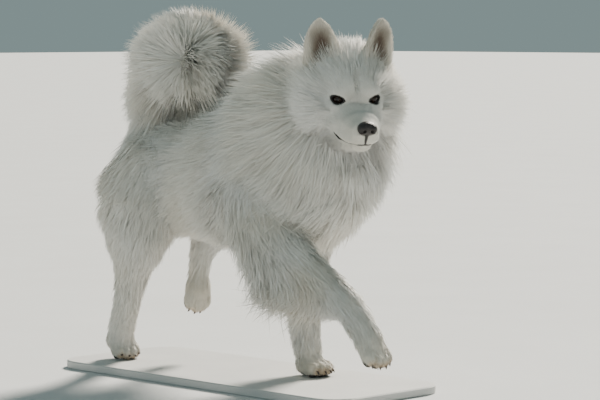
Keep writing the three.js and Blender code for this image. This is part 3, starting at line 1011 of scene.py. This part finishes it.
def gathered(hair):
    """Draws the ends of hairs that start close together towards one another."""
    root, n = hair["root"], len(hair["root"])
    tip = root + hair["aim"] * hair["size"][:, None]
    area = n / density[skin_quads].mean() * CM2
    count = min(max(int(area / np.median(hair["lock"]) ** 2 * LOCKS_OVER_AREA), LEAST_LOCKS), n)
    chosen = RNG.permutation(n)[:count]
    tree = KDTree(count)
    for k, i in enumerate(chosen):
        tree.insert(root[i], k)
    tree.balance()
    centre = chosen[[tree.find(p)[1] for p in root]]
    offset = root - root[centre]
    within = clamp(1.6 - np.linalg.norm(offset, axis=1) / (1.2 * hair["lock"]))
    pull = (0.1 + 0.38 * RNG.rand(n)) * within * ~hair["stray"]
    target = tip[centre] + 0.2 * offset
    size = np.linalg.norm(tip - root, axis=1, keepdims=True)
    pulled = tip + (target - tip) * pull[:, None]
    hair["tip"] = np.clip(root + unit(pulled - root) * size, *LIMITS)
    return hair


# heights along a tuft, as shares of its length, and its width at each
LONG = (np.array([0.0, 0.36, 0.7, 1.0]), np.array([0.7, 1.0, 0.72, 0.0]))
SHORT = (np.array([0.0, 0.5, 1.0]), np.array([0.85, 0.9, 0.0]))
ARCH, WAVER = 0.16, 0.03  # how far a tuft bows, as shares of its length
TWIST = 0.55
SUNK = 0.0012  # how far a root starts under the skin
SHORT_UNDER = 0.015
PATCH = 0.003  # on the unwrap


def ribbons(hair, levels, widths):
    """Points, triangles, normals, colours and patch coordinates of the tufts."""
    n = len(hair["root"])
    root, tip = hair["root"], hair["tip"]
    size = np.linalg.norm(tip - root, axis=1)[:, None]
    bowed = ARCH * hair["normal"] + WAVER * RNG.normal(size=(n, 3))
    bend = root + 0.5 * (tip - root) + size * bowed
    s = levels[None, :, None]
    path = (1 - s) ** 2 * root[:, None] + 2 * s * (1 - s) * bend[:, None] + s**2 * tip[:, None]
    path[:, 0] -= hair["normal"] * SUNK
    path[:, :, 2] = np.maximum(path[:, :, 2], LOWEST)
    turn = RNG.normal(size=n)[:, None] * TWIST
    across = unit(np.cross(unit(tip - root), hair["normal"]))
    across = unit(across + turn * hair["normal"])
    half = 0.5 * hair["width"][:, None] * widths
    rungs = len(levels) - 1
    edges = [path[:, k] + way * across * half[:, k, None] for k in range(rungs) for way in (-1, 1)]
    points = np.stack(edges + [path[:, -1]], 1)
    count = 2 * rungs + 1
    flat = unit(np.cross(across, unit(tip - root)))
    sign = np.sign(dot(flat, hair["normal"]))[:, None]
    flat = flat * sign
    strip = np.array([(0, 1, 2), (2, 1, 3), (2, 3, 4), (4, 3, 5), (4, 5, 6)])[:2 * rungs - 1]
    triangles = (np.arange(n) * count)[:, None, None] + strip
    back = sign[:, 0] < 0
    triangles[back] = triangles[back][:, :, ::-1]
    side = np.array([-1.0, 1.0] * rungs + [0.0])[None, :, None]
    height = np.append(np.repeat(levels[:-1], 2), 1.0)[None, :, None]
    normals = unit(0.85 * hair["normal"][:, None] + 0.25 * flat[:, None] + 0.22 * side * across[:, None])
    # painted shade: each tuft darkens to 0.9 of its colour towards the root
    colours = hair["colour"][:, None] * (0.9 + 0.1 * np.minimum(1.5 * height, 1))
    uv = hair["uv"][:, None] + PATCH * np.concatenate([side * 0.5, height - 0.5], 2)
    colours = np.broadcast_to(colours, points.shape)
    normals = np.broadcast_to(normals, points.shape)
    return [a.reshape(-1, a.shape[-1]) for a in (points, triangles, normals, colours, uv)]


def coat_object(name, hair):
    hair = gathered(hair)
    short = hair["size"] < SHORT_UNDER
    forms = ((short, SHORT), (~short, LONG))
    lots = [({k: v[which] for k, v in hair.items()}, form) for which, form in forms]
    made = [ribbons(lot, *form) for lot, form in lots if len(lot["root"])]
    if len(made) == 2:
        made[1][1] += len(made[0][0])
    points, triangles, normals, colours, uv = (np.concatenate(a) for a in zip(*made))
    item = mesh_object(name, points, triangles)
    mesh = item.data
    paint(mesh, colours)
    layer = mesh.uv_layers.new(name="OFBake")
    layer.data.foreach_set("uv", uv[triangles.ravel()].astype(np.float32).ravel())
    mesh.normals_split_custom_set_from_vertices(turned(normals).astype(np.float32))
    return item


def quad_share(names):
    return sum(belonging_to(name) for name in names)[skin_quads].mean(1)


GROUPS = {"coat_" + part: [part] for part in ("head", "ears", "neck", "chest", "trunk", "tail")}
GROUPS.update({"coat_" + leg: [leg, leg + "_paw"] for leg in LEGS})
belonging = np.argmax(np.stack([quad_share(names) for names in GROUPS.values()], 1), 1)
HALVED = {"coat_trunk": 0, "coat_head": 1, "coat_neck": 1}  # the axis that each is split across
middles = skin_points[skin_quads].mean(1)
COAT = {}
for k, name in enumerate(GROUPS):
    chosen = np.where(belonging == k)[0]
    lots = {name: chosen}
    if name in HALVED:
        place = middles[chosen, HALVED[name]]
        first = place >= np.median(place)
        lots = {name + "_a": chosen[first], name + "_b": chosen[~first]}
    for piece, quads in lots.items():
        COAT[piece] = coat_object(piece, grow(quads, WILD.get(name, CALM)))


# Eyes
def ring_angles(turns):
    return np.linspace(0, 2 * math.pi, turns, endpoint=False)


def ring_quads(rings, turns):
    """Quads between closed rings of points that follow one another."""
    start, k = np.arange(rings - 1)[:, None] * turns, np.arange(turns)
    after = (k + 1) % turns
    return np.stack([start + k, start + after, start + turns + after, start + turns + k], -1).reshape(-1, 4)


def side_name(side):
    return "left" if side > 0 else "right"


def eye_piece(name, terms, quads, side):
    points = from_head_points(eye_place(*terms.T, side))
    return mesh_object(name + side_name(side), points, quads)


PUPIL, IRIS, WHITE_FROM, CORNEA = 17, 38, 46, 40  # degrees from the gaze
EYE_COLOURS = {
    0: (0.003, 0.002, 0.002),
    PUPIL: (0.017, 0.008, 0.004),
    IRIS: (0.006, 0.004, 0.003),
    WHITE_FROM: (0.02, 0.015, 0.013),
}
EYE_TURNS = 40


def eyeball(side):
    degrees = np.concatenate([np.linspace(0.5, 60, 41), np.linspace(66, 176, 16)])
    radius = EYE_RADIUS + clamp(1 - (degrees / CORNEA) ** 2)
    turn, angle = np.radians(degrees)[:, None], ring_angles(EYE_TURNS)
    ring = (radius[:, None] * np.sin(turn))[..., None] * np.stack([np.cos(angle), np.sin(angle)], 1)
    out = np.broadcast_to((radius[:, None] * np.cos(turn))[..., None], (*ring.shape[:2], 1))
    quads = ring_quads(len(degrees), EYE_TURNS)
    if side > 0:
        quads = quads[:, ::-1]
    item = eye_piece("eyeball_", np.concatenate([ring, out], -1).reshape(-1, 3), quads, side)
    keys = sorted(EYE_COLOURS)
    band = np.clip(np.searchsorted(keys, degrees, side="right") - 1, 0, len(keys) - 1)
    paint(item.data, np.repeat([EYE_COLOURS[keys[b]] for b in band], EYE_TURNS, axis=0))
    return item


RIM_WIDE, RIM_HIGH, RIM_INNER = 13.6, 7.7, 14
# how much each ring of the margin is grown, and raised
RIM = [(0.90, -2.6), (0.94, -0.2), (0.98, 1.2), (1.04, 1.6), (1.12, 1.0), (1.2, -0.4), (1.28, -2.4)]


def eye_rim(side, steps=64):
    """The dark margin of the lids, an almond with a drawn-out inner corner."""
    t = ring_angles(steps)
    x = RIM_WIDE * np.cos(t)
    y = RIM_HIGH * np.sign(np.sin(t)) * np.abs(np.sin(t)) ** 1.2
    inner = clamp(-x / RIM_INNER)
    y = np.where(y > 0, y * 1.05, y * 0.95) - 0.8 * inner**2
    rows = []
    for grown, raised in RIM:
        px, py = x * grown - 1.6 * inner**4, y * grown
        out = EYE_RADIUS + 0.6 - 0.5 * (0.030 * px**2 + 0.058 * py**2) + raised
        rows.append(np.stack([px, py, out], 1))
    quads = ring_quads(len(RIM), steps)[:, [0, 3, 2, 1]]
    if side < 0:
        quads = quads[:, ::-1]
    return eye_piece("lids_", np.concatenate(rows), quads, side)


EYES = {side: eyeball(side) for side in (1, -1)}
LIDS = {side: eye_rim(side) for side in (1, -1)}


# Nose leather, drawn from balls at a fine step
NOSE_EDGE = 1.2  # how round the nostrils' edges are


def nose_distance(points):
    f, l, h = head_terms(points)
    x, a, z = f - NOSE_AT[0], np.abs(l), h - NOSE_AT[2]
    d = ball_distance(x, a, z, (0, 0, 1.5), (14, 19.5, (14, 14)))
    d = soft_min(d, ball_distance(x, a, z, (4, 10, 0), (10.5, 10, 10.5)), 3)
    d = soft_min(d, chain(x, l, z, [(6, 0, -8), (1.5, 0, -20), (-4, 0, -33)], 3.0), 4)
    d = soft_max(d, -ball_distance(x, a, z, (14.5, 8.0, -1.5), (6.5, 3.6, 3.3)), NOSE_EDGE)
    slit = chain(x, a, z, [(13, 8.5, -2), (11, 14, -4.5), (5, 19.5, -5)], 1.5)
    groove = chain(x, l, z, [(16, 0, 2), (13.5, 0, -8), (9, 0, -20), (3, 0, -34)], 0.9)
    return MM * soft_max(soft_max(d, -slit, NOSE_EDGE), -groove, NOSE_EDGE)


nose_middle = from_head(NOSE_AT[0], 0, NOSE_AT[2] - 9)
NOSE_ROOM = 0.036
NOSE_STEP = 0.00095
nose_grid = Grid([spread([(c - NOSE_ROOM, c + NOSE_ROOM, NOSE_STEP)]) for c in nose_middle])
nose_grid.join((nose_middle - NOSE_ROOM, nose_middle + NOSE_ROOM), nose_distance, 0.0001, 0.0)
nose_points, nose_quads = nose_grid.surface()
nose = mesh_object("nose_leather", smoothed(nose_points, halves(nose_quads), 2), nose_quads)


# Lips: a dark cord laid into the line of the mouth
def settled(points, grid, level, rounds=12):
    """Moves points on to a level of the distance field."""
    p = points.copy()
    steps = 0.0012 * np.eye(3)
    for _ in range(rounds):
        d = grid.at(p) - level
        slope = np.stack([grid.at(p + e) - grid.at(p - e) for e in steps], 1) / (2 * steps[0, 0])
        p -= 0.7 * d[:, None] * slope / np.maximum((slope**2).sum(1, keepdims=True), 0.3)
    return p


def eased(points, steps):
    """A smooth run of points through the given ones."""
    p = np.array(points, float)
    t = np.linspace(0, len(p) - 1, steps)
    i = np.clip(t.astype(int), 0, len(p) - 2)
    s = (t - i)[:, None]
    before, after = p[np.maximum(i - 1, 0)], p[np.minimum(i + 2, len(p) - 1)]
    a, b = p[i], p[i + 1]
    return 0.5 * (2 * a + (b - before) * s + (2 * before - 5 * a + 4 * b - after) * s**2
                  + (3 * a - before - 3 * b + after) * s**3)


def cord(points, radii, turns=10):
    """Points and quads of a closed tapering tube along a line."""
    way = unit(np.gradient(points, axis=0))
    aside = unit(np.cross(way, UP))
    top = np.cross(aside, way)
    angle = ring_angles(turns)[:, None, None]
    ring = np.cos(angle) * aside + np.sin(angle) * top
    body = (points + ring * np.array(radii)[:, None]).transpose(1, 0, 2)
    return body.reshape(-1, 3), ring_quads(len(points), turns)


LIP_STEPS = 60
half_lip = eased(LIPS, LIP_STEPS)
whole_lip = np.concatenate([half_lip[::-1] * MIRROR, half_lip[1:]])
lip_step = np.abs(np.arange(len(whole_lip)) - (LIP_STEPS - 1))
lip_level = np.interp(lip_step, [0, 34, 46], [-0.0002, -0.0002, 0.0012])
lip_line = settled(from_head_points(whole_lip), skin_grid, lip_level)
lip_ends = clamp((LIP_STEPS - 0.5 - lip_step) / 6) ** 0.6
lip_radii = np.interp(lip_step, [0, 20, 40, 50], [0.0024, 0.0019, 0.0022, 0.0034])
lips = mesh_object("lips", *cord(lip_line, lip_radii * lip_ends))


# Claws
CLAW_STEPS = 12
CLAW_RADIUS = 0.0031


def claws(name):
    at, axes, tip_up = PAWS[name]
    t = np.linspace(0, 1, CLAW_STEPS)[:, None]
    radii = CLAW_RADIUS * (1 - t[:, 0] ** 2.2 * 0.86)
    points, quads = [], []
    for lane in LANES:
        root = np.array([lead(lane) + 13, lane * TOE_SPACING * 1.04, 15.5])
        tip = np.array([lead(lane) + 23, lane * TOE_SPACING * 1.1, tip_up + 2.5])
        middle = 0.5 * (root + tip) + np.array([2.5, 0, 3.2])
        path = (1 - t) ** 2 * root + 2 * t * (1 - t) * middle + t**2 * tip
        claw, faces = cord(at + MM * (path @ axes), radii, CLAW_STEPS)
        quads.append(faces + len(claw) * len(points))
        points.append(claw)
    return mesh_object("claws_" + name, np.concatenate(points), np.concatenate(quads))


CLAWS = {name: claws(name) for name in PAWS}


# Materials
class Finish:
    """A material on one Principled shader."""

    def __init__(self, name, roughness, **constants):
        self.material = bpy.data.materials.new(name)
        self.material.use_nodes = True
        self.tree = self.material.node_tree
        self.shader = self.tree.nodes["Principled BSDF"]
        self.shader.inputs["Roughness"].default_value = roughness
        for key, value in constants.items():
            self.shader.inputs[key.replace("_", " ")].default_value = value

    def node(self, kind, **settings):
        item = self.tree.nodes.new("ShaderNode" + kind)
        for key, value in settings.items():
            setattr(item, key, value)
        return item

    def link(self, a, b):
        self.tree.links.new(a, b)

    def noise(self, scale, detail=3.0, roughness=0.55):
        item = self.node("TexNoise")
        item.inputs["Scale"].default_value = scale
        item.inputs["Detail"].default_value = detail
        item.inputs["Roughness"].default_value = roughness
        place = self.node("TexCoord")
        self.link(place.outputs["Object"], item.inputs["Vector"])
        return item.outputs["Fac"]

    def ramp(self, value, stops):
        item = self.node("ValToRGB")
        item.color_ramp.elements.remove(item.color_ramp.elements[1])
        for k, (place, colour) in enumerate(stops):
            stop = item.color_ramp.elements[0] if k == 0 else item.color_ramp.elements.new(place)
            stop.position = place
            stop.color = (*colour, 1)
        self.link(value, item.inputs["Fac"])
        return item.outputs["Color"]

    def multiplied(self, a, b):
        item = self.node("Mix", data_type="RGBA", blend_type="MULTIPLY")
        item.inputs["Factor"].default_value = 1.0
        self.link(a, item.inputs[6])
        self.link(b, item.inputs[7])
        return item.outputs[2]

    def bump(self, value, strength, distance):
        item = self.node("Bump")
        item.inputs["Strength"].default_value = strength
        item.inputs["Distance"].default_value = distance
        self.link(value, item.inputs["Height"])
        self.link(item.outputs["Normal"], self.shader.inputs["Normal"])

    def colour(self, socket):
        self.link(socket, self.shader.inputs["Base Color"])

    def give(self, *items):
        for item in items:
            item.data.materials.clear()
            item.data.materials.append(self.material)


def grey(value):
    return (value, value, value)


def two_tone(name, roughness, noise, dark, pale):
    """A colour that varies between two: noise gives its scale and detail, each colour its place."""
    finish = Finish(name, roughness)
    finish.colour(finish.ramp(finish.noise(*noise), [dark, pale]))
    return finish


def tinted(name, roughness, **constants):
    """The stored colours, faintly mottled."""
    finish = Finish(name, roughness, **constants)
    tints = finish.node("Attribute", attribute_name="tint", attribute_type="GEOMETRY")
    mottle = finish.ramp(finish.noise(55.0), [(0.3, grey(0.93)), (0.7, grey(1.0))])
    finish.colour(finish.multiplied(tints.outputs["Color"], mottle))
    return finish


skin_finish = tinted("skin", 0.7)
skin_finish.bump(skin_finish.noise(700.0, 4.0), 0.35, 0.0006)
skin_finish.give(skin)
tinted("fur", 0.62, Sheen_Weight=0.35, Sheen_Roughness=0.4).give(*COAT.values())
eye = tinted("eye", 0.16, Specular_IOR_Level=0.2, Coat_Weight=0.2, Coat_Roughness=0.05)
eye.give(*EYES.values())

dark = two_tone("dark_skin", 0.42, (260.0,), (0.3, (0.010, 0.009, 0.009)), (0.75, (0.028, 0.024, 0.023)))
dark.bump(dark.noise(1400.0, 2.0), 0.5, 0.0004)
dark.give(lips, *LIDS.values())
leather = two_tone(
    "nose_leather", 0.42, (180.0,), (0.3, (0.012, 0.010, 0.010)), (0.75, (0.034, 0.026, 0.026)))
cells = leather.node("TexVoronoi")
cells.inputs["Scale"].default_value = 900.0
leather.link(leather.node("TexCoord").outputs["Object"], cells.inputs["Vector"])
leather.bump(cells.outputs["Distance"], 0.6, 0.0005)
leather.give(nose)
horn = two_tone("claw", 0.35, (300.0,), (0.3, (0.030, 0.020, 0.016)), (0.7, (0.10, 0.066, 0.048)))
horn.bump(horn.noise(900.0, 2.0), 0.2, 0.0003)
horn.give(*CLAWS.values())
plinth = two_tone("base", 0.5, (9.0, 5.0), (0.3, (0.60, 0.60, 0.59)), (0.7, (0.66, 0.655, 0.64)))
plinth.bump(plinth.noise(420.0, 3.0), 0.25, 0.0005)
plinth.give(frame["nodes"]["stand_base"])

# Stage
FLOOR = 60.0
floor_mesh = bpy.data.meshes.new("floor")
corners = [(-FLOOR, -FLOOR, 0), (FLOOR, -FLOOR, 0), (FLOOR, FLOOR, 0), (-FLOOR, FLOOR, 0)]
floor_mesh.from_pydata(corners, [], [(0, 1, 2, 3)])
floor = placed("floor", floor_mesh)
two_tone("floor", 0.85, (3.0,), (0.3, (0.66, 0.67, 0.67)), (0.7, (0.69, 0.70, 0.70))).give(floor)

scene_world = bpy.data.worlds.new("world")
scene_world.use_nodes = True
sky = scene_world.node_tree.nodes["Background"]
sky.inputs["Color"].default_value = (0.68, 0.90, 0.90, 1)
sky.inputs["Strength"].default_value = 0.32
bpy.context.scene.world = scene_world


def light(name, kind, energy, colour, towards, **settings):
    """A lamp whose rays run along a direction in X, Y, Z."""
    data = bpy.data.lights.new(name, kind)
    data.energy, data.color = energy, colour
    for key, value in settings.items():
        setattr(data, key, value)
    item = placed(name, data)
    item.rotation_euler = Vector(towards).to_track_quat("-Z", "Y").to_euler()
    return item


SUN_FROM = (-0.28, 0.78, 0.62)
FILL_AT, MIDDLE = world((2.4, -5.2, 2.6)), world((0.0, 0.0, 0.4))
light("sun", "SUN", 9.0, (1.0, 0.93, 0.82), -turned(SUN_FROM), angle=math.radians(14))
fill = light("fill", "AREA", 28.0, (0.84, 0.97, 0.97), MIDDLE - FILL_AT, shape="DISK", size=4.0)
fill.location = FILL_AT

# The imported parts that the new pieces replace are hidden, and each new piece hangs from the root body
FLESH = ["head", "lower_jaw", "left_ear", "right_ear", "neck", "chest", "loin", "rump",
         "tail_root", "tail_middle", "tail_tip"]
for side in ("left", "right"):
    FLESH += [side + "_fore_" + part for part in ("upper", "forearm", "pastern", "paw")]
    FLESH += [side + "_hind_" + part for part in ("thigh", "shank", "hock", "paw")]
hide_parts(*FLESH)
for side, item in EYES.items():
    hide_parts(side_name(side) + "_eye")
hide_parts("nose")
for name, item in CLAWS.items():
    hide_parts(*["%s_claw_%d" % (name, k) for k in range(1, 5)])

SLOTS = {
    "coat": [skin, *COAT.values()],
    "eye": EYES.values(),
    "nose": [*LIDS.values(), nose, lips],
    "claw": CLAWS.values(),
}
for slot, items in SLOTS.items():
    for item in items:
        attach(item, "root")
